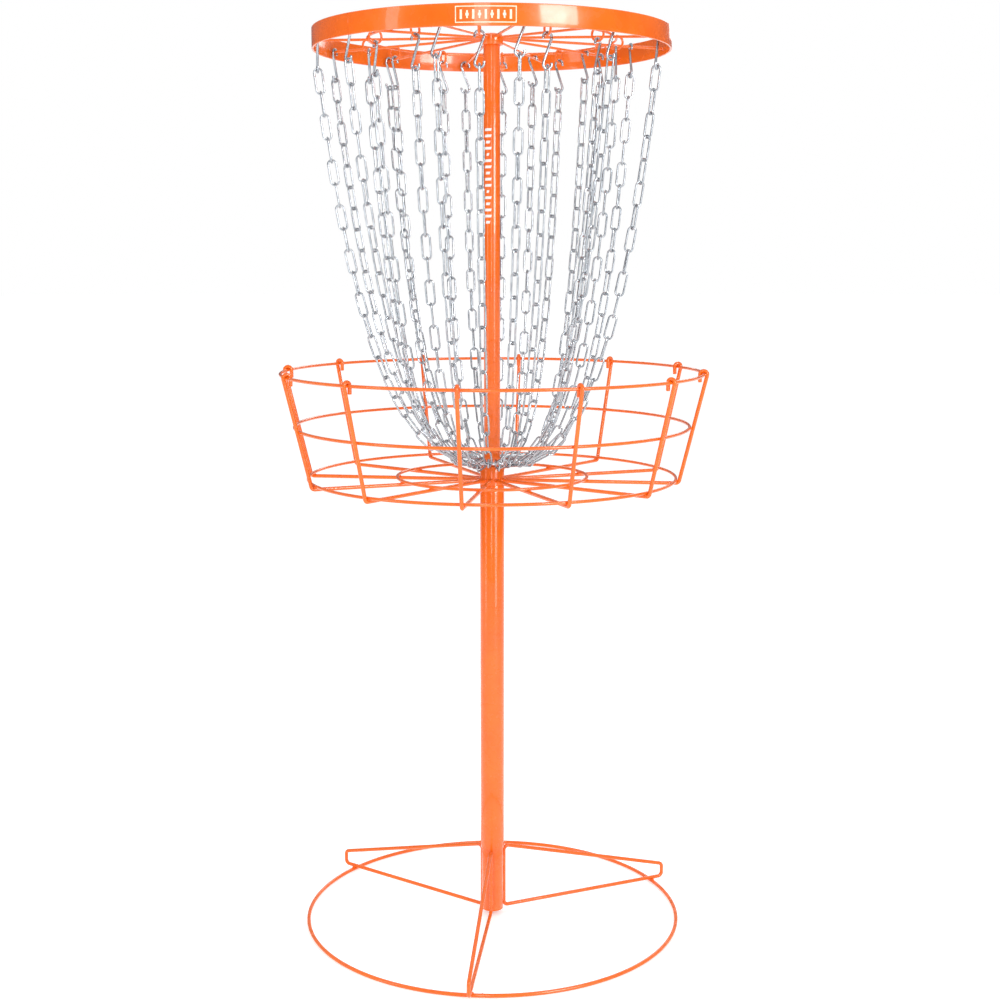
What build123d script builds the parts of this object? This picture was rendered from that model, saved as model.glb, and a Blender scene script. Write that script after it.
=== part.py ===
"""A portable disc golf basket: a wire base, a two-piece pole, a wire basket, and a banded top
frame with twenty-four hanging chains gathered by a ring.

Millimetres. +Z is up, the pole's axis is X = Y = 0, and the ground is Z = 0. Angles are in
degrees from +X towards +Y.
"""

from build123d import *
import math
import os

# Wire gauges and the gap left between wires that touch
WIRE_HEAVY = 6.0  # base wire and basket ribs
WIRE_RING = 5.0  # basket rings and the chain ring
WIRE_TOP = 4.0  # spokes and ring of the top frame
WIRE_EYE = 3.5
WIRE_HOOK = 3.8
WIRE_LINK = 3.0
TOUCH = 0.05  # between welded wires
LOOSE = 0.15  # between loose wires that hang on each other

# Poles, one inside the next
LOWER_POLE_OD = 38.1
LOWER_POLE_ID = 35.1
SOCKET_OD = 34.9
SOCKET_ID = 30.9
UPPER_POLE_OD = 25.4
UPPER_POLE_ID = 22.4
HUB_BORE = 25.6
HUB_LEDGE_ID = 18.0  # under the upper pole's end
HUB_CHAMFER = 1.0
CAP_RIM = 2.0
CAP_ROUND = 1.2
CAP_PLUG = 10.0

# Heights on the pole
SOCKET_BOTTOM = 8.0
SOCKET_TOP = 175.0
LOWER_POLE_BOTTOM = 113.0
HUB_SPIGOT_BOTTOM = 652.0
HUB_SEAM = 712.0  # the lower pole ends and the hub's collar sits on it
HUB_TOP = 741.5
UPPER_POLE_BOTTOM = 660.0
POLE_TOP = 1396.0

# Base
GROUND_RING_R = 300.0
LEG_ANGLES = (-95.9, 24.1, 144.1)
LEG_END_R = 319.0
LEG_END_Z = 31.0
LEG_TOP_Z = 113.0
LEG_BEND = 7.0

# Basket
RIM_R, RIM_Z = 327.0, 888.0
FLOOR_R, FLOOR_Z = 287.5, 725.0
MID_Z = 806.0
MID_R = FLOOR_R + (RIM_R - FLOOR_R) * (MID_Z - FLOOR_Z) / (RIM_Z - FLOOR_Z)
INNER_R = 149.0
RIB_COUNT = 12
RIB_START = -98.0
RIB_TAIL = 12.0  # straight end hanging inside the rim

# Top frame
BAND_R = 270.0
BAND_THICK = 3.0
BAND_BOTTOM, BAND_TOP = 1372.0, 1402.0
BAND_SEAM_ANGLE = -137.6
BAND_SEAM_WIDTH = 0.8
BAND_SEAM_DEPTH = 1.0
SPOKE_COUNT = 12
SPOKE_START = 10.0
SPOKE_HUB_Z = 1391.0
SPOKE_BAND_Z = 1382.0
SPOKE_GAP = 0.15  # at each end, which the slope of the spoke takes up
TOP_HUB_OD = 34.0
TOP_HUB_BOTTOM, TOP_HUB_TOP = 1381.0, 1396.0
TOP_RING_R = 187.0
EYE_START = 25.0
EYE_R = 9.75  # to the wire's centre

# Hooks and chains, in an outer and an inner row
CHAIN_COUNT = 12  # in each row
HOOK_R = 6.6  # bend radius to the wire's centre
HOOK_TIP_DEG = 20.0  # how far each tip runs past the half circle
HOOK_LENGTH = 50.0  # along the wire's centre line, from the upper bend to the lower one
CHAIN_RING_R, CHAIN_RING_Z = 35.0, 749.0
LINK_PITCH = 33.5
LINK_SLACK = 0.6
LINK_END_R = 6.0  # end bend to the wire's centre
OUTER_LINKS, INNER_LINKS = 20, 19
# Where each outer hook hangs on its spoke, from the first spoke on. Some have slid inward.
OUTER_RADII = (216, 192, 192, 262, 262, 262, 262, 262, 222, 228, 258, 256)
# Extra twist at the middle of each chain, in degrees, repeated round the basket
TWISTS = (0, 34, -20, 48, -38, 14, 26, -46, 40, -10, 18, -30)

os.makedirs("parts", exist_ok=True)


def save(part, name):
    """Label a finished piece and write it."""
    part.part.label = name
    export_step(part.part, f"parts/{name}.step")


def radial_plane(angle):
    """The vertical plane at an angle: its x runs outward from the pole and its y runs up."""
    return Plane.XZ.rotated((0, 0, angle))


def wire_ring(radius, z, wire):
    """A closed ring of round wire about the pole's axis."""
    with BuildPart() as ring:
        with BuildSketch(Plane.XZ):
            with Locations((radius, z)):
                Circle(wire / 2)
        revolve(axis=Axis.Z)
    return ring


def tube(outer, inner, bottom, top):
    """A round tube about the pole's axis."""
    with BuildPart() as part:
        with BuildSketch(Plane.XY.offset(bottom)):
            Circle(outer / 2)
            Circle(inner / 2, mode=Mode.SUBTRACT)
        extrude(amount=top - bottom)
    return part


def bent_wire(path, wire):
    """Round wire along a finished path."""
    with BuildPart() as part:
        with BuildLine():
            add(path)
        with BuildSketch(Plane(origin=path @ 0, z_dir=path % 0)):
            Circle(wire / 2)
        sweep()
    return part


# Base: a ground ring, three wire loops and the socket that the pole drops over


def base_leg(angle):
    """One closed wire loop standing against the socket and resting on the ground ring."""
    inner = SOCKET_OD / 2 + WIRE_HEAVY / 2 + TOUCH
    low = 1.5 * WIRE_HEAVY + TOUCH
    middle = (inner + LEG_END_R) / 2
    corners = [
        (middle, low),
        (LEG_END_R, low),
        (LEG_END_R, LEG_END_Z),
        (inner, LEG_TOP_Z),
        (inner, low),
        (middle - TOUCH, low),
    ]
    with BuildLine(radial_plane(angle)) as line:
        FilletPolyline(*corners, radius=LEG_BEND)
    return bent_wire(line.wire(), WIRE_HEAVY)


save(wire_ring(GROUND_RING_R, WIRE_HEAVY / 2, WIRE_HEAVY), "ground_ring")
for number, leg_angle in enumerate(LEG_ANGLES, start=1):
    save(base_leg(leg_angle), f"base_leg_{number}")
save(tube(SOCKET_OD, SOCKET_ID, SOCKET_BOTTOM, SOCKET_TOP), "base_socket")
save(tube(LOWER_POLE_OD, LOWER_POLE_ID, LOWER_POLE_BOTTOM, HUB_SEAM - TOUCH), "lower_pole")

# Basket: a hub with a spigot, four rings and twelve ribs

with BuildPart() as basket_hub:
    with BuildSketch(Plane.XY.offset(HUB_SPIGOT_BOTTOM)):
        Circle(SOCKET_OD / 2)
    extrude(amount=HUB_SEAM - HUB_SPIGOT_BOTTOM)
    with BuildSketch(Plane.XY.offset(HUB_SEAM)):
        Circle(LOWER_POLE_OD / 2)
    extrude(amount=HUB_TOP - HUB_SEAM)
    with BuildSketch(Plane.XY.offset(UPPER_POLE_BOTTOM)):
        Circle(HUB_BORE / 2)
    extrude(amount=HUB_TOP - UPPER_POLE_BOTTOM, mode=Mode.SUBTRACT)
    with BuildSketch(Plane.XY.offset(HUB_SPIGOT_BOTTOM)):
        Circle(HUB_LEDGE_ID / 2)
    extrude(amount=UPPER_POLE_BOTTOM - HUB_SPIGOT_BOTTOM, mode=Mode.SUBTRACT)
    top_edges = basket_hub.edges().filter_by(GeomType.CIRCLE).group_by(Axis.Z)[-1]
    chamfer(top_edges.sort_by(SortBy.RADIUS)[-1], HUB_CHAMFER)
save(basket_hub, "basket_hub")

save(wire_ring(RIM_R, RIM_Z, WIRE_RING), "basket_rim")
save(wire_ring(MID_R, MID_Z, WIRE_RING), "basket_mid_ring")
save(wire_ring(FLOOR_R, FLOOR_Z, WIRE_RING), "basket_floor_ring")
save(wire_ring(INNER_R, FLOOR_Z, WIRE_RING), "basket_inner_ring")


def basket_rib(angle):
    """One rib: under the floor rings, up outside the wall and curled over the rim."""
    off = (WIRE_HEAVY + WIRE_RING) / 2 + TOUCH
    lean = math.atan2(RIM_R - FLOOR_R, RIM_Z - FLOOR_Z)
    out_x, out_z = off * math.cos(lean), -off * math.sin(lean)
    floor_z = FLOOR_Z - off
    start = (LOWER_POLE_OD / 2 + TOUCH, floor_z)
    knee_x = FLOOR_R + out_x + (floor_z - FLOOR_Z - out_z) * math.tan(lean)
    top = (RIM_R + out_x, RIM_Z + out_z)
    tail = (RIM_R - off, RIM_Z)
    with BuildLine(radial_plane(angle)) as line:
        FilletPolyline(start, (knee_x, floor_z), top, radius=off)
        CenterArc((RIM_R, RIM_Z), off, -math.degrees(lean), 180 + math.degrees(lean))
        Line(tail, (tail[0], tail[1] - RIB_TAIL))
    return bent_wire(line.wire(), WIRE_HEAVY)


for number in range(RIB_COUNT):
    rib_angle = RIB_START + 360 / RIB_COUNT * number
    save(basket_rib(rib_angle), f"basket_rib_{number + 1:02d}")

# Mast: the upper pole and the banded frame welded on its top

save(tube(UPPER_POLE_OD, UPPER_POLE_ID, UPPER_POLE_BOTTOM + TOUCH, POLE_TOP), "upper_pole")
save(tube(TOP_HUB_OD, UPPER_POLE_OD + 2 * TOUCH, TOP_HUB_BOTTOM, TOP_HUB_TOP), "top_hub")

with BuildPart() as pole_cap:
    with BuildSketch(Plane.XY.offset(POLE_TOP - CAP_PLUG)):
        Circle(UPPER_POLE_ID / 2 - TOUCH)
    extrude(amount=CAP_PLUG + TOUCH)
    with BuildSketch(Plane.XY.offset(POLE_TOP + TOUCH)):
        Circle(UPPER_POLE_OD / 2)
    extrude(amount=CAP_RIM)
    fillet(pole_cap.edges().group_by(Axis.Z)[-1], CAP_ROUND)
save(pole_cap, "pole_cap")

with BuildPart() as band:
    with BuildSketch(Plane.XY.offset(BAND_BOTTOM)):
        Circle(BAND_R)
        Circle(BAND_R - BAND_THICK, mode=Mode.SUBTRACT)
    extrude(amount=BAND_TOP - BAND_BOTTOM)
    with BuildSketch(Plane.XY.offset(BAND_BOTTOM)):
        with PolarLocations(BAND_R, 1, start_angle=BAND_SEAM_ANGLE):
            Rectangle(2 * BAND_SEAM_DEPTH, BAND_SEAM_WIDTH)
    extrude(amount=BAND_TOP - BAND_BOTTOM, mode=Mode.SUBTRACT)
save(band, "band")

SPOKE_IN = TOP_HUB_OD / 2 + SPOKE_GAP
SPOKE_OUT = BAND_R - BAND_THICK - SPOKE_GAP
SPOKE_FALL = (SPOKE_HUB_Z - SPOKE_BAND_Z) / (SPOKE_OUT - SPOKE_IN)


def spoke_height(radius):
    """Height of a spoke's centre line at a radius."""
    return SPOKE_HUB_Z - SPOKE_FALL * (radius - SPOKE_IN)


def top_spoke(angle):
    """One straight spoke from the top hub to the inside of the band."""
    with BuildLine(radial_plane(angle)) as line:
        Line((SPOKE_IN, SPOKE_HUB_Z), (SPOKE_OUT, SPOKE_BAND_Z))
    return bent_wire(line.wire(), WIRE_TOP)


def ring_of(count, start, make):
    """The same piece at equal angles round the pole, as separate solids in one part."""
    with BuildPart() as group:
        for step in range(count):
            add(make(start + 360 / count * step).part)
    return group


save(ring_of(SPOKE_COUNT, SPOKE_START, top_spoke), "band_spokes")
TOP_RING_Z = spoke_height(TOP_RING_R) + WIRE_TOP + TOUCH
save(wire_ring(TOP_RING_R, TOP_RING_Z, WIRE_TOP), "band_inner_ring")

EYE_Z = TOP_RING_Z + (WIRE_TOP + WIRE_EYE) / 2 + TOUCH - EYE_R


def chain_eye(angle):
    """One round eye, standing in the radial plane and hung round the inner ring."""
    with BuildPart() as eye:
        plane = radial_plane(angle)
        centre = plane.from_local_coords((TOP_RING_R, EYE_Z, 0))
        with BuildSketch(Plane(origin=centre, x_dir=plane.x_dir, z_dir=(0, 0, 1))):
            with Locations((EYE_R, 0)):
                Circle(WIRE_EYE / 2)
        revolve(axis=Axis(centre, plane.z_dir))
    return eye


save(ring_of(CHAIN_COUNT, EYE_START, chain_eye), "chain_eyes")

# Chains: each hangs as a catenary between the chain ring and its hook


def catenary(span, rise, length):
    """The parameter of a hanging chain, and how far from its lower end the lowest point is."""
    level = math.sqrt(length**2 - rise**2)
    low, high = span / 20, span * 4
    for _ in range(80):
        a = (low + high) / 2
        if 2 * a * math.sinh(span / 2 / a) > level:
            low = a
        else:
            high = a
    return a, span / 2 - a * math.atanh(rise / length)


LINK_IN_R = CHAIN_RING_R - (WIRE_RING + WIRE_LINK) / 2 - LOOSE


def chain_points(top_r, top_z, links):
    """Where the links meet, from the chain ring to the hook, as radius and height."""
    length = links * LINK_PITCH
    a, lowest = catenary(top_r - LINK_IN_R, top_z - CHAIN_RING_Z, length)
    start = a * math.sinh(-lowest / a)
    points = []
    for step in range(links + 1):
        x = a * math.asinh((start + step * LINK_PITCH) / a)
        height = a * (math.cosh(x / a) - math.cosh(lowest / a))
        points.append((LINK_IN_R + lowest + x, CHAIN_RING_Z + height))
    return points


def s_hook(top_z):
    """An S-hook with its upper bend on the origin's axis, in the tangential plane."""
    half = HOOK_LENGTH / 2 - HOOK_R
    middle = top_z - HOOK_LENGTH / 2
    slant = math.asin(HOOK_R / half)
    turn = 180 + HOOK_TIP_DEG + math.degrees(slant)
    side = (HOOK_R * math.cos(slant), HOOK_R * math.sin(slant))
    upper, lower = (0, middle + half), (0, middle - half)
    tip_start = 180 + HOOK_TIP_DEG
    with BuildLine(Plane.YZ) as line:
        CenterArc(upper, HOOK_R, tip_start, -turn)
        Line((side[0], upper[1] - side[1]), (-side[0], lower[1] + side[1]))
        CenterArc(lower, HOOK_R, 180 - math.degrees(slant), turn)
    return bent_wire(line.wire(), WIRE_HOOK)


def hooks_at(radii, start, tops):
    """Equal hooks round the frame, as separate solids."""
    with BuildPart() as group:
        for step in range(CHAIN_COUNT):
            angle = start + 360 / CHAIN_COUNT * step
            with PolarLocations(radii[step], 1, start_angle=angle):
                add(s_hook(tops[step]).part)
    return group


# From the top of a hook to where the last link of its chain meets it
HOOK_REACH = HOOK_LENGTH - (WIRE_HOOK + WIRE_LINK) / 2 - LOOSE
OUTER_TOPS = [spoke_height(r) + (WIRE_TOP + WIRE_HOOK) / 2 + LOOSE for r in OUTER_RADII]
INNER_TOP = EYE_Z - EYE_R + (WIRE_EYE + WIRE_HOOK) / 2 + LOOSE
INNER_POINTS = chain_points(TOP_RING_R, INNER_TOP - HOOK_REACH, INNER_LINKS)
outer_hooks = hooks_at(OUTER_RADII, SPOKE_START, OUTER_TOPS)
inner_hooks = hooks_at([TOP_RING_R] * CHAIN_COUNT, EYE_START, [INNER_TOP] * CHAIN_COUNT)
save(outer_hooks, "s_hooks_outer")
save(inner_hooks, "s_hooks_inner")
save(wire_ring(CHAIN_RING_R, CHAIN_RING_Z, WIRE_RING), "chain_ring")


def chain_link():
    """One long link along X, flat in its XY plane, centred on the origin."""
    reach = (LINK_PITCH + LINK_SLACK + WIRE_LINK) / 2 - LINK_END_R
    with BuildLine() as line:
        Line((-reach, -LINK_END_R), (reach, -LINK_END_R))
        CenterArc((reach, 0), LINK_END_R, -90, 180)
        Line((reach, LINK_END_R), (-reach, LINK_END_R))
        CenterArc((-reach, 0), LINK_END_R, 90, 180)
    return bent_wire(line.wire(), WIRE_LINK)


def link_planes(points, angle, twist):
    """A plane for every link: crossed with its neighbours, and radial at both ends."""
    last = len(points) - 2
    spare = 90 if last % 2 else 0  # an even number of links needs a quarter turn more
    out = Vector(1, 0, 0).rotate(Axis.Z, angle)
    side = Vector(0, 1, 0).rotate(Axis.Z, angle)
    planes = []
    for step in range(last + 1):
        (r0, z0), (r1, z1) = points[step], points[step + 1]
        run = (out * (r1 - r0) + Vector(0, 0, z1 - z0)).normalized()
        middle = out * ((r0 + r1) / 2) + Vector(0, 0, (z0 + z1) / 2)
        share = step / last
        turn = 90 * step + spare * share + twist * math.sin(math.pi * share)
        face = side.rotate(Axis((0, 0, 0), run), turn)
        planes.append(Plane(origin=middle, x_dir=run, z_dir=face))
    return planes


LINK = chain_link()


def chain(points, angle, twist):
    """One chain of separate links."""
    with BuildPart() as part:
        with Locations(*link_planes(points, angle, twist)):
            add(LINK.part)
    return part


for number in range(CHAIN_COUNT):
    turn_on = 360 / CHAIN_COUNT * number
    points = chain_points(OUTER_RADII[number], OUTER_TOPS[number] - HOOK_REACH, OUTER_LINKS)
    outer = chain(points, SPOKE_START + turn_on, TWISTS[number])
    save(outer, f"chain_outer_{number + 1:02d}")
    inner = chain(INNER_POINTS, EYE_START + turn_on, -TWISTS[-1 - number])
    save(inner, f"chain_inner_{number + 1:02d}")
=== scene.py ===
"""The looks of a portable disc golf basket: powder-coated wire and tube, and zinc-plated chain.

Every wire, tube and link is swept again as a smooth mesh where the frame's solid is, with weld
beads where wires are joined. Metres. +Z is up, and angles run from +X towards +Y.
"""

import math
import random

import bpy
from mathutils import Matrix, Quaternion, Vector, noise


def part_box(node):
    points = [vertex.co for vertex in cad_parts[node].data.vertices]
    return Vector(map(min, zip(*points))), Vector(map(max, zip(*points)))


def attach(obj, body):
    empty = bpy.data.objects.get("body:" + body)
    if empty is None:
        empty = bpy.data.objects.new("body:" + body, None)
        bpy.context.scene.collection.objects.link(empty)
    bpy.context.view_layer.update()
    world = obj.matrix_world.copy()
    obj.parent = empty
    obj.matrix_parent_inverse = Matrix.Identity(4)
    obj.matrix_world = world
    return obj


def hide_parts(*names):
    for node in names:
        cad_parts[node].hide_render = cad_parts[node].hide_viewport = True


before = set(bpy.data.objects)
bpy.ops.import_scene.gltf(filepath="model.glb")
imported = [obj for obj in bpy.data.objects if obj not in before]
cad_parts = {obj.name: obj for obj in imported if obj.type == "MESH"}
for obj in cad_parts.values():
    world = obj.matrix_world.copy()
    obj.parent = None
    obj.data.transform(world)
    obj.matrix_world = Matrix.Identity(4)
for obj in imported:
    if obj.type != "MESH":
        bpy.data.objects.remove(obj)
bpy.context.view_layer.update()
MM = 0.001

# Angles and counts of what repeats round the pole
LEG_ANGLES = (-95.9, 24.1, 144.1)
RIB_START = -98.0
SPOKE_START = 10.0
EYE_START = 25.0
REPEATS = 12
EVERY = 360 / REPEATS
BAND_SEAM_ANGLE = -137.6
BADGE_ANGLE = -91.4
DASHES_ANGLE = -121
GROUND_SEAM_ANGLE = LEG_ANGLES[0] + 3.4
CHAIN_RING_SEAM_ANGLE = 37

# Sizes that the frame's boxes don't give
WIRE_HEAVY = 6.0 * MM
WIRE_TOP = 4.0 * MM
WIRE_EYE = 3.5 * MM
WIRE_HOOK = 3.8 * MM
WIRE_LINK = 3.0 * MM
TOUCH = 0.05 * MM
LOOSE = 0.15 * MM
LEG_END_R = 319 * MM
LEG_END_Z = 31 * MM
LEG_TOP_Z = 113 * MM
LEG_BEND = 7 * MM
SOCKET_WALL = 2 * MM
POLE_WALL = 1.5 * MM
HUB_BORE = 12.8 * MM
HUB_HOLE = 9 * MM
HUB_LEDGE_Z = 660 * MM
HUB_STEP = 1.6 * MM
RIB_TAIL = 12 * MM
SPOKE_HUB_Z = 1391 * MM
SPOKE_BAND_Z = 1382 * MM
SPOKE_GAP = 0.15 * MM
BAND_THICK = 3 * MM
HOOK_R = 6.6 * MM
HOOK_TIP = math.radians(20)
HOOK_LENGTH = 50 * MM
LINK_PITCH = 33.5 * MM
LINK_SLACK = 0.6 * MM
LINK_END_R = 6 * MM
# Where each outer hook hangs on its spoke, from the first spoke on
OUTER_RADII = [r * MM for r in (216, 192, 192, 262, 262, 262, 262, 262, 222, 228, 258, 256)]
OUTER_LINKS = 20
INNER_LINKS = 19
# Extra twist at the middle of each chain, in degrees
TWISTS = (0, 34, -20, 48, -38, 14, 26, -46, 40, -10, 18, -30)

# The camera: its place, tilt below level, and focal length against the sensor's width
CAMERA_PLACE = (0.0124, -2.426, 1.0708)
CAMERA_TILT = 9
SENSOR_WIDTH = 36
FOCAL_SHARE = 1.5565


# Mesh helpers


def radial(angle, radius, height):
    """The point at a radius and height in the vertical plane at an angle."""
    a = math.radians(angle)
    return Vector((radius * math.cos(a), radius * math.sin(a), height))


def hoop(radius, height, steps):
    """Points on a circle round the pole's axis."""
    return [radial(360 * i / steps, radius, height) for i in range(steps)]


def arc(centre, radius, start, sweep, steps):
    """Points on an arc in the (radius, height) plane, angles in radians."""
    return [
        (
            centre[0] + radius * math.cos(start + sweep * i / steps),
            centre[1] + radius * math.sin(start + sweep * i / steps),
        )
        for i in range(steps + 1)
    ]


def bend(before, corner, after, radius, steps=8):
    """The rounded corner between two straight runs in the (radius, height) plane."""
    a, c, b = Vector(before), Vector(corner), Vector(after)
    u, v = (a - c).normalized(), (b - c).normalized()
    half = math.acos(max(-1, min(1, u.dot(v)))) / 2
    centre = c + (u + v).normalized() * (radius / math.sin(half))
    start = c + u * (radius / math.tan(half)) - centre
    end = c + v * (radius / math.tan(half)) - centre
    first = math.atan2(start.y, start.x)
    turn = math.atan2(end.y, end.x) - first
    turn = (turn + math.pi) % (2 * math.pi) - math.pi
    return arc(centre, radius, first, turn, steps)


def runs(points, most):
    """The path with its long straight runs divided, so that none is longer than most."""
    out = [Vector(points[0])]
    for p, q in zip(points, points[1:], strict=False):
        p, q = Vector(p), Vector(q)
        count = max(1, math.ceil((q - p).length / most))
        out += [p.lerp(q, i / count) for i in range(1, count + 1)]
    return out


def swept(points, radius, closed=False, sides=14, flat_ends=False):
    """Vertices and faces of round wire along a path, with its ends rounded off."""
    points = [Vector(p) for p in points]
    count = len(points)
    tangents = []
    for i in range(count):
        a = points[i - 1] if closed or i else points[0]
        b = points[(i + 1) % count] if closed or i < count - 1 else points[-1]
        tangents.append((b - a).normalized())
    side = tangents[0].orthogonal().normalized()
    verts, faces, rows = [], [], []

    def row(centre, normal, across, size):
        up = normal.cross(across)
        first = len(verts)
        for k in range(sides):
            a = 2 * math.pi * k / sides
            verts.append(centre + (across * math.cos(a) + up * math.sin(a)) * size)
        rows.append(first)

    edge = 0 if flat_ends else min(radius * 0.35, 0.6 * MM)
    for i in range(count):
        if i:
            side.rotate(tangents[i - 1].rotation_difference(tangents[i]))
        side = (side - tangents[i] * side.dot(tangents[i])).normalized()
        if not closed and i == 0 and edge:
            row(points[0], tangents[0], side, radius - edge)
            row(points[0] + tangents[0] * edge, tangents[0], side, radius)
            continue
        if not closed and i == count - 1 and edge:
            row(points[-1] - tangents[-1] * edge, tangents[-1], side, radius)
            row(points[-1], tangents[-1], side, radius - edge)
            continue
        row(points[i], tangents[i], side, radius)
    pairs = list(zip(rows, rows[1:], strict=False))
    if closed:
        pairs.append((rows[-1], rows[0]))
    for a, b in pairs:
        shift = 0
        if closed and a == rows[-1]:
            shift = min(range(sides), key=lambda s: (verts[a] - verts[b + s]).length)
        for k in range(sides):
            n = (k + 1) % sides
            faces.append((a + k, a + n, b + (n + shift) % sides, b + (k + shift) % sides))
    if not closed:
        faces.append(tuple(rows[0] + k for k in reversed(range(sides))))
        faces.append(tuple(rows[-1] + k for k in range(sides)))
    return verts, faces


def bridge(a, b, count):
    """The faces between two closed rows of points, from the index of each row's first point."""
    return [(a + k, b + k, b + (k + 1) % count, a + (k + 1) % count) for k in range(count)]


def lathe(profile, segments=128):
    """Vertices and faces of a closed (radius, height) profile turned about the pole's axis."""
    verts, faces = [], []
    count = len(profile)
    for s in range(segments):
        for r, z in profile:
            verts.append(radial(360 * s / segments, r, z))
    for s in range(segments):
        faces += bridge(s * count, (s + 1) % segments * count, count)
    return verts, faces


def tube_profile(inner, outer, bottom, top, edge):
    """A tube's wall in section, its ends slightly rounded."""
    return [
        (inner, bottom + edge), (inner + edge, bottom), (outer - edge, bottom),
        (outer - edge * 0.3, bottom + edge * 0.3), (outer, bottom + edge),
        (outer, top - edge), (outer - edge * 0.3, top - edge * 0.3), (outer - edge, top),
        (inner + edge, top), (inner, top - edge),
    ]


def join(parts):
    """Several (vertices, faces) as one."""
    verts, faces = [], []
    for v, f in parts:
        base = len(verts)
        verts += v
        faces += [tuple(i + base for i in face) for face in f]
    return verts, faces


def piece(name, shape, material, body, slot, *nodes):
    """A smooth-shaded object that rides on a body and stands for CAD nodes."""
    mesh = bpy.data.meshes.new(name)
    mesh.from_pydata([tuple(v) for v in shape[0]], [], shape[1])
    mesh.validate()
    mesh.shade_smooth()
    mesh.materials.append(material)
    ob = bpy.data.objects.new(name, mesh)
    bpy.context.scene.collection.objects.link(ob)
    crease = ob.modifiers.new("flat edges", "EDGE_SPLIT")
    crease.split_angle = math.radians(40)
    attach(ob, body)
    if nodes:
        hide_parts(*nodes)
    return ob


def ring_size(node):
    """(radius to the wire's centre, height, wire radius) of a ring node."""
    low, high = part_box(node)
    wire = (high.z - low.z) / 2
    return (high.x - low.x) / 2 - wire, (high.z + low.z) / 2, wire


# Materials


def nodes_of(name):
    """A new material with its node tree, shader and an object-space coordinate."""
    material = bpy.data.materials.new(name)
    material.use_nodes = True
    tree = material.node_tree
    shader = tree.nodes["Principled BSDF"]
    place = tree.nodes.new("ShaderNodeTexCoord").outputs["Object"]
    return material, tree, shader, place


def noise_node(tree, place, scale, detail, rough=0.5):
    """A noise texture's factor."""
    node = tree.nodes.new("ShaderNodeTexNoise")
    node.inputs["Scale"].default_value = scale
    node.inputs["Detail"].default_value = detail
    node.inputs["Roughness"].default_value = rough
    tree.links.new(place, node.inputs["Vector"])
    return node.outputs["Fac"]


def remap(tree, value, low, high, out_low, out_high):
    """A value stretched from one range to another."""
    node = tree.nodes.new("ShaderNodeMapRange")
    for key, number in zip(
        ("From Min", "From Max", "To Min", "To Max"), (low, high, out_low, out_high), strict=True
    ):
        node.inputs[key].default_value = number
    tree.links.new(value, node.inputs["Value"])
    return node.outputs["Result"]


def blend_colours(tree, factor, first, second):
    """A mix of two colours."""
    node = tree.nodes.new("ShaderNodeMix")
    node.data_type = "RGBA"
    node.inputs["A"].default_value = (*first, 1)
    node.inputs["B"].default_value = (*second, 1)
    tree.links.new(factor, node.inputs["Factor"])
    return node.outputs["Result"]


def bump(tree, shader, height, strength, distance):
    """Fine relief on a shader's normal."""
    node = tree.nodes.new("ShaderNodeBump")
    node.inputs["Strength"].default_value = strength
    node.inputs["Distance"].default_value = distance
    tree.links.new(height, node.inputs["Height"])
    tree.links.new(node.outputs["Normal"], shader.inputs["Normal"])


def powder_coat():
    """Gloss orange powder coat: slight orange peel, and a little thicker and paler in patches."""
    material, tree, shader, place = nodes_of("powder_coat_orange")
    cloud = noise_node(tree, place, 14, 3)
    tint = remap(tree, cloud, 0.3, 0.7, 0, 1)
    colour = blend_colours(tree, tint, (0.86, 0.128, 0.004), (0.95, 0.165, 0.008))
    tree.links.new(colour, shader.inputs["Base Color"])
    peel = noise_node(tree, place, 420, 2)
    gloss = noise_node(tree, place, 60, 3)
    tree.links.new(remap(tree, gloss, 0.3, 0.7, 0.2, 0.32), shader.inputs["Roughness"])
    bump(tree, shader, peel, 0.04, 0.0004)
    shader.inputs["Specular IOR Level"].default_value = 0.35
    shader.inputs["Coat Weight"].default_value = 0.5
    shader.inputs["Coat Roughness"].default_value = 0.04
    return material


def zinc(name, dark, light, rough_low, rough_high, relief):
    """Bright zinc plate with a faint blue cast, duller in patches."""
    material, tree, shader, place = nodes_of(name)
    patches = remap(tree, noise_node(tree, place, 90, 4, 0.6), 0.3, 0.7, 0, 1)
    tree.links.new(blend_colours(tree, patches, dark, light), shader.inputs["Base Color"])
    dull = noise_node(tree, place, 260, 3)
    tree.links.new(
        remap(tree, dull, 0.3, 0.7, rough_low, rough_high), shader.inputs["Roughness"]
    )
    bump(tree, shader, noise_node(tree, place, 1500, 3, 0.6), relief, 0.0002)
    shader.inputs["Metallic"].default_value = 1
    return material


def paint(name, first, second):
    """Thin printed paint, a little uneven."""
    material, tree, shader, place = nodes_of(name)
    uneven = remap(tree, noise_node(tree, place, 350, 3), 0.35, 0.65, 0, 1)
    tree.links.new(blend_colours(tree, uneven, first, second), shader.inputs["Base Color"])
    shader.inputs["Roughness"].default_value = 0.4
    bump(tree, shader, noise_node(tree, place, 900, 2), 0.1, 0.0002)
    return material


def floor_material():
    """Pale matte floor with a faint mottle."""
    material, tree, shader, place = nodes_of("floor_pale")
    mottle = remap(tree, noise_node(tree, place, 1.5, 3), 0.3, 0.7, 0, 1)
    colour = blend_colours(tree, mottle, (0.87, 0.87, 0.87), (0.9, 0.9, 0.9))
    tree.links.new(colour, shader.inputs["Base Color"])
    shader.inputs["Roughness"].default_value = 0.75
    shader.inputs["Emission Color"].default_value = (1, 1, 1, 1)
    shader.inputs["Emission Strength"].default_value = 0.42
    return material


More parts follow.
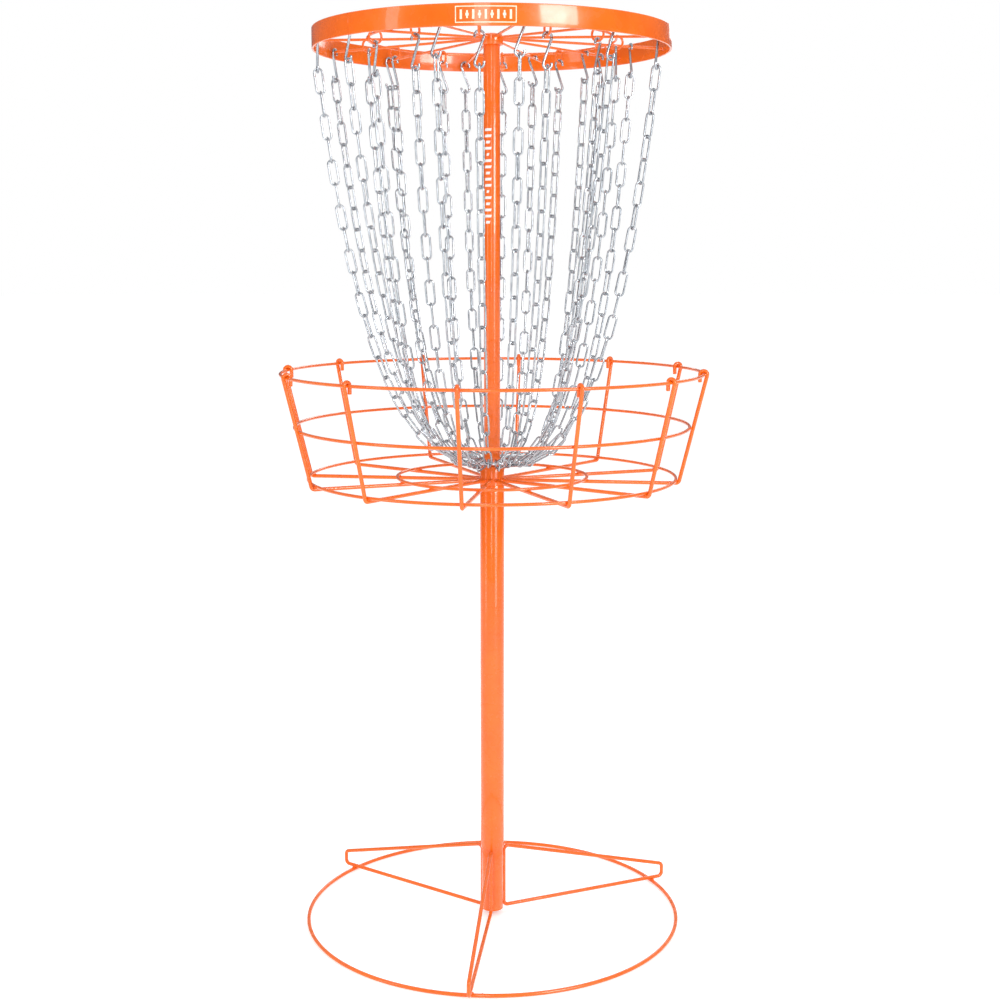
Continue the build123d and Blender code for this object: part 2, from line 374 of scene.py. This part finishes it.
ORANGE = powder_coat()
CHAIN_ZINC = zinc("zinc_chain", (0.3, 0.325, 0.355), (0.56, 0.585, 0.615), 0.12, 0.28, 0.12)
HOOK_ZINC = zinc("zinc_hook", (0.27, 0.295, 0.33), (0.52, 0.545, 0.58), 0.12, 0.28, 0.12)
RING_STEEL = zinc("zinc_ring", (0.55, 0.58, 0.63), (0.8, 0.82, 0.85), 0.18, 0.34, 0.12)
CREAM = paint("paint_cream", (0.9, 0.78, 0.58), (0.96, 0.86, 0.68))
WHITE = paint("paint_white", (0.86, 0.86, 0.84), (0.94, 0.93, 0.9))
FLOOR = floor_material()


# Weld beads


def bead(centre, along, length, width, seed):
    """A lumpy weld bead: a stretched ball along a direction, roughened by noise."""
    along = Vector(along).normalized()
    turn = Vector((0, 0, 1)).rotation_difference(along)
    rows, sides = 9, 12
    verts, faces = [], []
    for i in range(rows):
        t = math.pi * i / (rows - 1)
        for k in range(sides):
            a = 2 * math.pi * k / sides
            p = Vector((math.sin(t) * math.cos(a), math.sin(t) * math.sin(a), math.cos(t)))
            lump = 1 + 0.22 * noise.noise(p * 1.7 + Vector((seed * 3.7, seed * 1.3, 0)))
            p = Vector((p.x * width, p.y * width, p.z * length)) * lump
            p.rotate(turn)
            verts.append(Vector(centre) + p)
    for i in range(rows - 1):
        faces += bridge(i * sides, (i + 1) * sides, sides)
    return verts, faces


def cross_weld(point_a, point_b, seed, size=1.0):
    """A small bead in the seam where one wire lies on another."""
    a, b = Vector(point_a), Vector(point_b)
    middle, apart = (a + b) / 2, (b - a).normalized()
    tangent = apart.cross(Vector((0, 0, 1)))
    if tangent.length < 0.1:
        tangent = apart.cross(Vector((math.cos(seed), math.sin(seed), 0)))
    return bead(middle, tangent, 3.1 * MM * size, 2.0 * MM * size, seed)


# Base


def leg_path(angle, socket_r):
    """The closed centre line of one wire leg."""
    inner = socket_r + WIRE_HEAVY / 2 + TOUCH
    low = 1.5 * WIRE_HEAVY + TOUCH
    corners = [(inner, low), (LEG_END_R, low), (LEG_END_R, LEG_END_Z), (inner, LEG_TOP_Z)]
    flat = []
    for i, corner in enumerate(corners):
        flat += bend(corners[i - 1], corner, corners[(i + 1) % 4], LEG_BEND)
    flat = runs([*(Vector(p) for p in flat), Vector(flat[0])], 20 * MM)[:-1]
    return [radial(angle, p.x, p.y) for p in flat]


def make_base():
    """Ground ring, legs, socket and their welds."""
    ring_r, ring_z, wire = ring_size("ground_ring")
    ring = hoop(ring_r, ring_z, 240)
    piece("ground_wire", swept(ring, wire, True, 16), ORANGE, "base", "powder_coat", "ground_ring")
    low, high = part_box("base_socket")
    socket_r = (high.x - low.x) / 2
    welds = []
    for i, angle in enumerate(LEG_ANGLES):
        shape = swept(leg_path(angle, socket_r), WIRE_HEAVY / 2, True, 16)
        piece(f"leg_{i + 1}", shape, ORANGE, "base", "powder_coat", f"base_leg_{i + 1}")
        inner = socket_r + 0.8 * MM
        along = Vector((0, 0, 1))
        for side in (-8.5, 8.5):
            for z in (24, 52, 88):
                welds.append(
                    bead(radial(angle + side, inner, z * MM), along, 9 * MM, 1.5 * MM, i * 9 + z)
                )
        tangent = radial(angle + 90, 1, 0)
        for side in (-1, 1):
            spot = radial(angle, ring_r, 1.0 * WIRE_HEAVY) + tangent * (3.2 * MM * side)
            welds.append(bead(spot, radial(angle, 1, 0), 2.6 * MM, 2.2 * MM, i * 5 + side + 40))
    joint = radial(GROUND_SEAM_ANGLE, ring_r, ring_z + 0.8 * MM)
    across = radial(GROUND_SEAM_ANGLE + 90, 1, 0)
    welds.append(bead(joint, across, 2.6 * MM, WIRE_HEAVY / 2 - 0.1 * MM, 77))
    piece("base_welds", join(welds), ORANGE, "base", "powder_coat")
    profile = tube_profile(socket_r - SOCKET_WALL, socket_r, low.z, high.z, 0.6 * MM)
    piece("socket_tube", lathe(profile), ORANGE, "base", "powder_coat", "base_socket")


# Poles


def make_poles():
    """The two poles, the sleeve on top and its cap."""
    low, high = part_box("lower_pole")
    outer = (high.x - low.x) / 2
    shape = lathe(tube_profile(outer - POLE_WALL, outer, low.z, high.z, 0.5 * MM))
    piece("pole_lower", shape, ORANGE, "pole", "powder_coat", "lower_pole")
    low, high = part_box("upper_pole")
    outer = (high.x - low.x) / 2
    shape = lathe(tube_profile(outer - POLE_WALL, outer, low.z, high.z, 0.5 * MM))
    piece("pole_upper", shape, ORANGE, "mast", "powder_coat", "upper_pole")
    low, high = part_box("top_hub")
    shape = lathe(tube_profile(outer + TOUCH, (high.x - low.x) / 2, low.z, high.z, 0.7 * MM))
    piece("sleeve_top", shape, ORANGE, "mast", "powder_coat", "top_hub")
    low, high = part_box("pole_cap")
    rim = (high.x - low.x) / 2
    plug = rim - 1.55 * MM
    flange = high.z - 2 * MM
    dome = [
        (0.0001, low.z), (plug - 0.5 * MM, low.z), (plug, low.z + 0.5 * MM), (plug, flange),
        (rim - 0.2 * MM, flange), (rim, flange + 0.3 * MM), (rim - 0.1 * MM, flange + 0.9 * MM),
        (rim - 0.7 * MM, flange + 1.5 * MM), (rim - 2.4 * MM, high.z - 0.1 * MM), (0.0001, high.z),
    ]
    piece("cap_top", lathe(dome, 64), ORANGE, "mast", "powder_coat", "pole_cap")


# Basket


def rib_path(angle, hub_r, rim, floor):
    """The centre line of one rib, from the hub to the tail inside the rim."""
    off = WIRE_HEAVY / 2 + floor[2] + TOUCH
    lean = math.atan2(rim[0] - floor[0], rim[1] - floor[1])
    out_r, out_z = off * math.cos(lean), -off * math.sin(lean)
    floor_z = floor[1] - off
    knee_r = floor[0] + out_r + (floor_z - floor[1] - out_z) * math.tan(lean)
    start = (hub_r + TOUCH, floor_z)
    top = (rim[0] + out_r, rim[1] + out_z)
    flat = [start, *bend(start, (knee_r, floor_z), top, off)]
    flat += arc((rim[0], rim[1]), off, -lean, math.pi + lean, 16)
    flat.append((rim[0] - off, rim[1] - RIB_TAIL))
    return [radial(angle, p.x, p.y) for p in runs([Vector(p) for p in flat], 12 * MM)]


def make_basket():
    """Hub, four rings, twelve ribs and the welds between them."""
    low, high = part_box("basket_hub")
    hub_r = (high.x - low.x) / 2
    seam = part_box("lower_pole")[1].z + TOUCH
    spigot, bore = hub_r - HUB_STEP, HUB_BORE
    profile = [
        (bore, HUB_LEDGE_Z), (HUB_HOLE, HUB_LEDGE_Z), (HUB_HOLE, low.z),
        (spigot - 0.6 * MM, low.z), (spigot, low.z + 0.6 * MM), (spigot, seam), (hub_r - 0.3 * MM, seam),
        (hub_r, seam + 0.3 * MM), (hub_r, high.z - MM), (hub_r - 0.3 * MM, high.z - 0.4 * MM),
        (hub_r - MM, high.z), (bore + 0.4 * MM, high.z), (bore, high.z - 0.4 * MM),
    ]
    piece("hub_collar", lathe(profile), ORANGE, "basket", "powder_coat", "basket_hub")
    names = {
        "rim_wire": "basket_rim", "mid_wire": "basket_mid_ring",
        "floor_wire": "basket_floor_ring", "inner_wire": "basket_inner_ring",
    }
    sizes = {}
    for name, node in names.items():
        size = ring_size(node)
        sizes[name] = size
        path = hoop(size[0], size[1], 240)
        piece(name, swept(path, size[2], True, 14), ORANGE, "basket", "powder_coat", node)
    rim, floor = sizes["rim_wire"], sizes["floor_wire"]
    off = WIRE_HEAVY / 2 + rim[2] + TOUCH
    lean = math.atan2(rim[0] - floor[0], rim[1] - floor[1])
    welds = []
    for i in range(REPEATS):
        angle = RIB_START + EVERY * i
        shape = swept(rib_path(angle, hub_r, rim, floor), WIRE_HEAVY / 2)
        piece(f"rib_{i + 1:02d}", shape, ORANGE, "basket", "powder_coat", f"basket_rib_{i + 1:02d}")
        inner = sizes["inner_wire"]
        spots = [
            (inner[0], inner[1], inner[0], inner[1] - off),
            (floor[0], floor[1], floor[0], floor[1] - off),
        ]
        for size in (sizes["mid_wire"], rim):
            spots.append(
                (size[0], size[1], size[0] + off * math.cos(lean), size[1] - off * math.sin(lean))
            )
        for k, (r0, z0, r1, z1) in enumerate(spots):
            welds.append(cross_weld(radial(angle, r0, z0), radial(angle, r1, z1), i * 4 + k))
        root = radial(angle, hub_r + 0.6 * MM, floor[1] - off)
        side = radial(angle + 90, 1, 0)
        for k in (-1, 1):
            spot = root + side * (2.6 * MM * k) + Vector((0, 0, 1.2 * MM))
            welds.append(bead(spot, radial(angle, 1, 0), 2.6 * MM, 1.7 * MM, 90 + i * 2 + k))
    piece("basket_welds", join(welds), ORANGE, "basket", "powder_coat")


# Top frame


def band_shape(outer, thick, bottom, top):
    """The flat bar, rolled almost to a full turn, with its edges rounded."""
    gap = math.degrees(0.4 * MM / outer)
    first = BAND_SEAM_ANGLE + gap
    edge = 0.7 * MM
    section = []
    for sx, sz, begin in ((1, 1, 0), (-1, 1, 90), (-1, -1, 180), (1, -1, 270)):
        cx = outer - thick / 2 + sx * (thick / 2 - edge)
        cz = (top + bottom) / 2 + sz * ((top - bottom) / 2 - edge)
        section += arc((cx, cz), edge, math.radians(begin), math.pi / 2, 4)
    steps, count = 240, len(section)
    verts, faces = [], []
    for s in range(steps + 1):
        turn = first + (360 - 2 * gap) * s / steps
        verts += [radial(turn, r, z) for r, z in section]
    for s in range(steps):
        faces += bridge(s * count, (s + 1) * count, count)
    faces.append(tuple(reversed(range(count))))
    faces.append(tuple(steps * count + k for k in range(count)))
    return verts, faces


def curved_patch(outer, centre, width, z0, z1, lift, slant=0.0):
    """A thin raised patch on a round surface; slant leans its sides over."""
    steps = 2 * max(2, math.ceil(width / (3 * MM)))
    verts, faces = [], []
    for s in range(steps + 1):
        for z, r in ((z0, outer), (z0, outer + lift), (z1, outer + lift), (z1, outer)):
            lean = slant if z == z1 else 0
            shift = (width * (s / steps - 0.5) + lean) / outer
            verts.append(radial(centre + math.degrees(shift), r, z))
    for s in range(steps):
        faces += bridge(s * 4, (s + 1) * 4, 4)
    faces.append((3, 2, 1, 0))
    faces.append(tuple(steps * 4 + k for k in range(4)))
    return verts, faces


def make_badge(outer, bottom):
    """A plain framed badge on the band's front: upright bars and lozenges, with no lettering."""
    width, line, lift = 83 * MM, 1.3 * MM, 0.25 * MM
    z0, z1 = bottom + 4 * MM, bottom + 26 * MM
    parts = [
        curved_patch(outer, BADGE_ANGLE, width, z0, z0 + line, lift),
        curved_patch(outer, BADGE_ANGLE, width, z1 - line, z1, lift),
    ]
    for side in (-1, 1):
        turn = math.degrees(side * (width - line) / 2 / outer)
        parts.append(curved_patch(outer, BADGE_ANGLE + turn, line, z0, z1, lift))
    middle = (z0 + z1) / 2
    marks, apart = 9, 8.4 * MM
    bar_width, bar_reach = 3 * MM, 6.2 * MM
    tier = 3.4 * MM
    for i in range(marks):
        angle = BADGE_ANGLE + math.degrees((i - (marks - 1) / 2) * apart / outer)
        if i % 2:
            for z, wide in ((-1, 2.2), (0, 4.4), (1, 2.2)):
                low = middle + (z - 0.5) * tier
                parts.append(curved_patch(outer, angle, wide * MM, low, low + tier, lift))
        else:
            ends = middle - bar_reach, middle + bar_reach
            parts.append(curved_patch(outer, angle, bar_width, *ends, lift))
    piece("badge_plain", join(parts), CREAM, "mast", "powder_coat")


def make_pole_stripe(outer):
    """A column of plain slanted dashes on the front left of the upper pole."""
    parts = []
    top, step, tall = 1258 * MM, 9.2 * MM, 4 * MM
    lift, slant = 0.12 * MM, 1.2 * MM
    widths = (11, 11, 7, 11, 4, 11, 11, 7, 11, 11, 4, 11, 7, 11, 11, 7)
    for i, width in enumerate(widths):
        z1 = top - i * step
        parts.append(curved_patch(outer, DASHES_ANGLE, width * MM, z1 - tall, z1, lift, slant))
    piece("pole_dashes", join(parts), WHITE, "mast", "powder_coat")


def spoke_line(inner, outer):
    """A spoke's height at a radius, as a function."""
    fall = (SPOKE_HUB_Z - SPOKE_BAND_Z) / (outer - inner)
    return lambda radius: SPOKE_HUB_Z - fall * (radius - inner)


def make_top_frame():
    """Band, spokes, inner ring and eyes, and their welds. Returns what the hooks hang on."""
    low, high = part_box("band")
    outer = (high.x - low.x) / 2
    shape = band_shape(outer, BAND_THICK, low.z, high.z)
    piece("band_bar", shape, ORANGE, "mast", "powder_coat", "band")
    hub_r = (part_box("top_hub")[1].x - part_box("top_hub")[0].x) / 2
    inner, far = hub_r + SPOKE_GAP, outer - BAND_THICK - SPOKE_GAP
    height = spoke_line(inner, far)
    ring_r, ring_z, ring_wire = ring_size("band_inner_ring")
    path = hoop(ring_r, ring_z, 180)
    shape = swept(path, ring_wire, True, 12)
    piece("frame_ring", shape, ORANGE, "mast", "powder_coat", "band_inner_ring")
    eye_low, eye_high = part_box("chain_eyes")
    eye_z = (eye_low.z + eye_high.z) / 2
    eye_r = (eye_high.z - eye_low.z) / 2 - WIRE_EYE / 2
    spokes, eyes, welds = [], [], []
    for i in range(REPEATS):
        angle = SPOKE_START + EVERY * i
        ends = [radial(angle, inner, SPOKE_HUB_Z), radial(angle, far, SPOKE_BAND_Z)]
        spokes.append(swept(runs(ends, 20 * MM), WIRE_TOP / 2, sides=12, flat_ends=True))
        side = radial(angle + 90, 1, 0)
        for k in (-1, 1):
            spot = radial(angle, far - 0.3 * MM, SPOKE_BAND_Z) + side * (2 * MM * k)
            welds.append(bead(spot, Vector((0, 0, 1)), 2.6 * MM, 1.6 * MM, i * 2 + k))
        welds.append(
            bead(radial(angle, inner, SPOKE_HUB_Z + 1.2 * MM), side, 2.6 * MM, 1.6 * MM, i + 50)
        )
        on_spoke = radial(angle, ring_r, height(ring_r))
        welds.append(cross_weld(on_spoke, radial(angle, ring_r, ring_z), i + 70, 0.75))
        angle = EYE_START + EVERY * i
        circle = arc((ring_r, eye_z), eye_r, 0, 2 * math.pi, 32)[:-1]
        loop = [radial(angle, r, z) for r, z in circle]
        eyes.append(swept(loop, WIRE_EYE / 2, True, 12))
        spot = radial(angle, ring_r, eye_z + eye_r - 1.6 * MM)
        welds.append(bead(spot, radial(angle + 90, 1, 0), 2.8 * MM, 1.7 * MM, i + 30))
    piece("frame_spokes", join(spokes), ORANGE, "mast", "powder_coat", "band_spokes")
    piece("frame_eyes", join(eyes), ORANGE, "mast", "powder_coat", "chain_eyes")
    seam = radial(BAND_SEAM_ANGLE, outer - BAND_THICK / 2, (low.z + high.z) / 2)
    welds.append(bead(seam, Vector((0, 0, 1)), 13.2 * MM, 1.62 * MM, 5))
    piece("frame_welds", join(welds), ORANGE, "mast", "powder_coat")
    make_badge(outer, low.z)
    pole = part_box("upper_pole")
    make_pole_stripe((pole[1].x - pole[0].x) / 2)
    return height, ring_r, eye_z - eye_r


# Chains


def catenary(span, rise, length):
    """The parameter of a hanging chain, and how far from its lower end the lowest point is."""
    level = math.sqrt(length**2 - rise**2)
    low, high = span / 20, span * 4
    for _ in range(80):
        a = (low + high) / 2
        if 2 * a * math.sinh(span / 2 / a) > level:
            low = a
        else:
            high = a
    return a, span / 2 - a * math.atanh(rise / length)


def chain_points(top_r, top_z, links):
    """Where the links meet, from the chain ring up to the hook, as radius and height."""
    ring_r, ring_z, ring_wire = ring_size("chain_ring")
    inner = ring_r - ring_wire - WIRE_LINK / 2 - LOOSE
    a, lowest = catenary(top_r - inner, top_z - ring_z, links * LINK_PITCH)
    start = a * math.sinh(-lowest / a)
    points = []
    for step in range(links + 1):
        x = a * math.asinh((start + step * LINK_PITCH) / a)
        rise = a * (math.cosh(x / a) - math.cosh(lowest / a))
        points.append((inner + lowest + x, ring_z + rise))
    return points


def link_mesh(seed):
    """One long link along X in its XY plane, with the swell of its weld on one side."""
    dice = random.Random(seed)
    reach = (LINK_PITCH + LINK_SLACK + WIRE_LINK) / 2 - LINK_END_R
    path = arc((reach, 0), LINK_END_R, -math.pi / 2, math.pi, 10)
    path += [(reach * (1 - 2 * i / 8), LINK_END_R) for i in range(1, 8)]
    path += arc((-reach, 0), LINK_END_R, math.pi / 2, math.pi, 10)
    path += [(-reach * (1 - 2 * i / 8), -LINK_END_R) for i in range(1, 8)]
    verts, faces = swept([Vector((x, y, 0)) for x, y in path], WIRE_LINK / 2, True, 10)
    weld_at, weld_side = dice.uniform(-2.5, 2.5) * MM, dice.choice((-1, 1))
    for v in verts:
        if v.y * weld_side > 0:
            swell = 0.14 * math.exp(-(((v.x - weld_at) / (1.6 * MM)) ** 2))
            middle = Vector((v.x, LINK_END_R * weld_side, 0))
            if abs(v.x) < reach:
                v += (v - middle) * swell
    return verts, faces


def link_matrices(points, angle, twist):
    """Where each link of a chain is: crossed with its neighbours, and radial at both ends."""
    last = len(points) - 2
    spare = 90 if last % 2 else 0
    out, side = radial(angle, 1, 0), radial(angle + 90, 1, 0)
    places = []
    for step in range(last + 1):
        (r0, z0), (r1, z1) = points[step], points[step + 1]
        run = (out * (r1 - r0) + Vector((0, 0, z1 - z0))).normalized()
        middle = out * ((r0 + r1) / 2) + Vector((0, 0, (z0 + z1) / 2))
        share = step / last
        turn = math.radians(90 * step + spare * share + twist * math.sin(math.pi * share))
        face = side.copy()
        face.rotate(Quaternion(run, turn))
        across = face.cross(run)
        places.append(Matrix((run, across, face)).transposed().to_4x4())
        places[-1].translation = middle
    return places


def hook_shape(angle, radius, top_z):
    """One S-hook in the tangential plane."""
    half = HOOK_LENGTH / 2 - HOOK_R
    middle = top_z - HOOK_LENGTH / 2
    slant = math.asin(HOOK_R / half)
    turn = math.pi + HOOK_TIP + slant
    flat = arc((0, middle + half), HOOK_R, math.pi + HOOK_TIP, -turn, 20)
    flat += arc((0, middle - half), HOOK_R, math.pi - slant, turn, 20)
    side, centre = radial(angle + 90, 1, 0), radial(angle, radius, 0)
    path = [centre + side * p.x + Vector((0, 0, p.y)) for p in runs(flat, 5 * MM)]
    return swept(path, WIRE_HOOK / 2, sides=12)


def make_chains(height, ring_r, eye_bottom):
    """The chain ring, the hooks and every chain."""
    size = ring_size("chain_ring")
    path = hoop(size[0], size[1], 90)
    seam = radial(CHAIN_RING_SEAM_ANGLE, size[0], size[1])
    tangent = radial(CHAIN_RING_SEAM_ANGLE + 90, 1, 0)
    weld = bead(seam, tangent, 2.2 * MM, size[2] + 0.25 * MM, 8)
    shape = join([swept(path, size[2], True, 14), weld])
    piece("gather_ring", shape, RING_STEEL, "chain_ring", "zinc", "chain_ring")
    links = [link_mesh(seed) for seed in range(5)]
    dice = random.Random(11)
    reach = HOOK_LENGTH - (WIRE_HOOK + WIRE_LINK) / 2 - LOOSE
    grip = (WIRE_TOP + WIRE_HOOK) / 2 + LOOSE
    outer = [(r, height(r) + grip) for r in OUTER_RADII]
    inner = [(ring_r, eye_bottom + (WIRE_EYE + WIRE_HOOK) / 2 + LOOSE)] * REPEATS
    kinds = (
        ("outer", outer, OUTER_LINKS, SPOKE_START, TWISTS),
        ("inner", inner, INNER_LINKS, EYE_START, [-t for t in reversed(TWISTS)]),
    )
    for kind, tops, count, start, twists in kinds:
        hooks = []
        for i, (twist, (top_r, top_z)) in enumerate(zip(twists, tops, strict=True)):
            angle = start + EVERY * i
            hooks.append(hook_shape(angle, top_r, top_z))
            points = chain_points(top_r, top_z - reach, count)
            shapes = []
            for place in link_matrices(points, angle, twist):
                verts, faces = dice.choice(links)
                shapes.append(([place @ v for v in verts], faces))
            name = f"chain_{kind}_{i + 1:02d}"
            piece(f"links_{kind}_{i + 1:02d}", join(shapes), CHAIN_ZINC, name, "zinc", name)
        node = f"s_hooks_{kind}"
        piece(f"hooks_{kind}", join(hooks), HOOK_ZINC, "mast", "zinc", node)


# Studio


def make_camera():
    """A camera in front of the basket, tilted down so that the frame holds all of it."""
    lens = bpy.data.cameras.new("camera")
    lens.sensor_width = SENSOR_WIDTH
    lens.lens = SENSOR_WIDTH * FOCAL_SHARE
    camera = bpy.data.objects.new("camera", lens)
    camera.location = CAMERA_PLACE
    camera.rotation_euler = (math.radians(90 - CAMERA_TILT), 0, 0)
    bpy.context.scene.collection.objects.link(camera)
    bpy.context.scene.camera = camera


def softbox(name, place, aim, width, tall, power):
    """A rectangular area light that faces a point."""
    data = bpy.data.lights.new(name, "AREA")
    data.shape = "RECTANGLE"
    data.size, data.size_y, data.energy = width, tall, power
    light = bpy.data.objects.new(name, data)
    light.location = place
    light.rotation_euler = (Vector(aim) - Vector(place)).to_track_quat("-Z", "Y").to_euler()
    light.visible_camera = False
    bpy.context.scene.collection.objects.link(light)
    return light


def make_floor():
    """A large pale disc under the basket."""
    mesh = bpy.data.meshes.new("floor")
    steps, reach = 96, 40.0
    rings = (0.0, 1.0, 4.0, reach)
    verts = [(0, 0, 0)]
    for r in rings[1:]:
        verts += [tuple(p) for p in hoop(r, 0, steps)]
    faces = [(0, 1 + s, 1 + (s + 1) % steps) for s in range(steps)]
    for ring in range(len(rings) - 2):
        a, b = 1 + ring * steps, 1 + (ring + 1) * steps
        faces += [(a + s, b + s, b + (s + 1) % steps, a + (s + 1) % steps) for s in range(steps)]
    mesh.from_pydata(verts, [], faces)
    mesh.materials.append(FLOOR)
    floor = bpy.data.objects.new("floor", mesh)
    bpy.context.scene.collection.objects.link(floor)


def make_world():
    """Even studio light, white where the camera looks past the floor."""
    world = bpy.data.worlds.new("studio")
    bpy.context.scene.world = world
    world.use_nodes = True
    tree = world.node_tree
    sky = tree.nodes["Background"]
    sky.inputs["Strength"].default_value = 1.0
    seen = tree.nodes.new("ShaderNodeLightPath").outputs["Is Camera Ray"]
    mix = tree.nodes.new("ShaderNodeMix")
    mix.data_type = "RGBA"
    mix.inputs["B"].default_value = (1, 1, 1, 1)
    tree.links.new(seen, mix.inputs["Factor"])
    coords = tree.nodes.new("ShaderNodeTexCoord").outputs["Generated"]
    split = tree.nodes.new("ShaderNodeSeparateXYZ")
    tree.links.new(coords, split.inputs["Vector"])
    ramp = tree.nodes.new("ShaderNodeValToRGB")
    tree.links.new(remap(tree, split.outputs["Z"], -1, 1, 0, 1), ramp.inputs["Fac"])
    stops = ramp.color_ramp.elements
    stops[0].position, stops[0].color = 0.5, (0.09, 0.095, 0.11, 1)
    stops[1].position, stops[1].color = 0.62, (0.2, 0.21, 0.23, 1)
    high = stops.new(0.8)
    high.color = (0.85, 0.85, 0.85, 1)
    tree.links.new(ramp.outputs["Color"], mix.inputs["A"])
    tree.links.new(mix.outputs["Result"], sky.inputs["Color"])


def make_studio():
    """Camera, floor, sky, four softboxes and a panel that only shows in the gloss."""
    make_camera()
    make_floor()
    make_world()
    middle = (0, 0, 0.9)
    softbox("key", (1.9, -2.6, 1.5), middle, 0.9, 2.6, 34)
    softbox("front", (-0.3, -3.2, 1.9), middle, 0.5, 2.2, 22)
    softbox("fill", (-2.9, -1.6, 1.4), middle, 0.5, 2.6, 16)
    sheen = softbox("sheen", (2.15, -2.5, 1.9), (0, 0, 1.38), 1.35, 1.0, 62)
    sheen.visible_diffuse = False
    softbox("back", (0.6, 2.8, 2.4), middle, 2.0, 1.4, 25)
    bpy.context.scene.view_settings.view_transform = "Standard"


make_studio()
make_base()
make_poles()
make_basket()
make_chains(*make_top_frame())
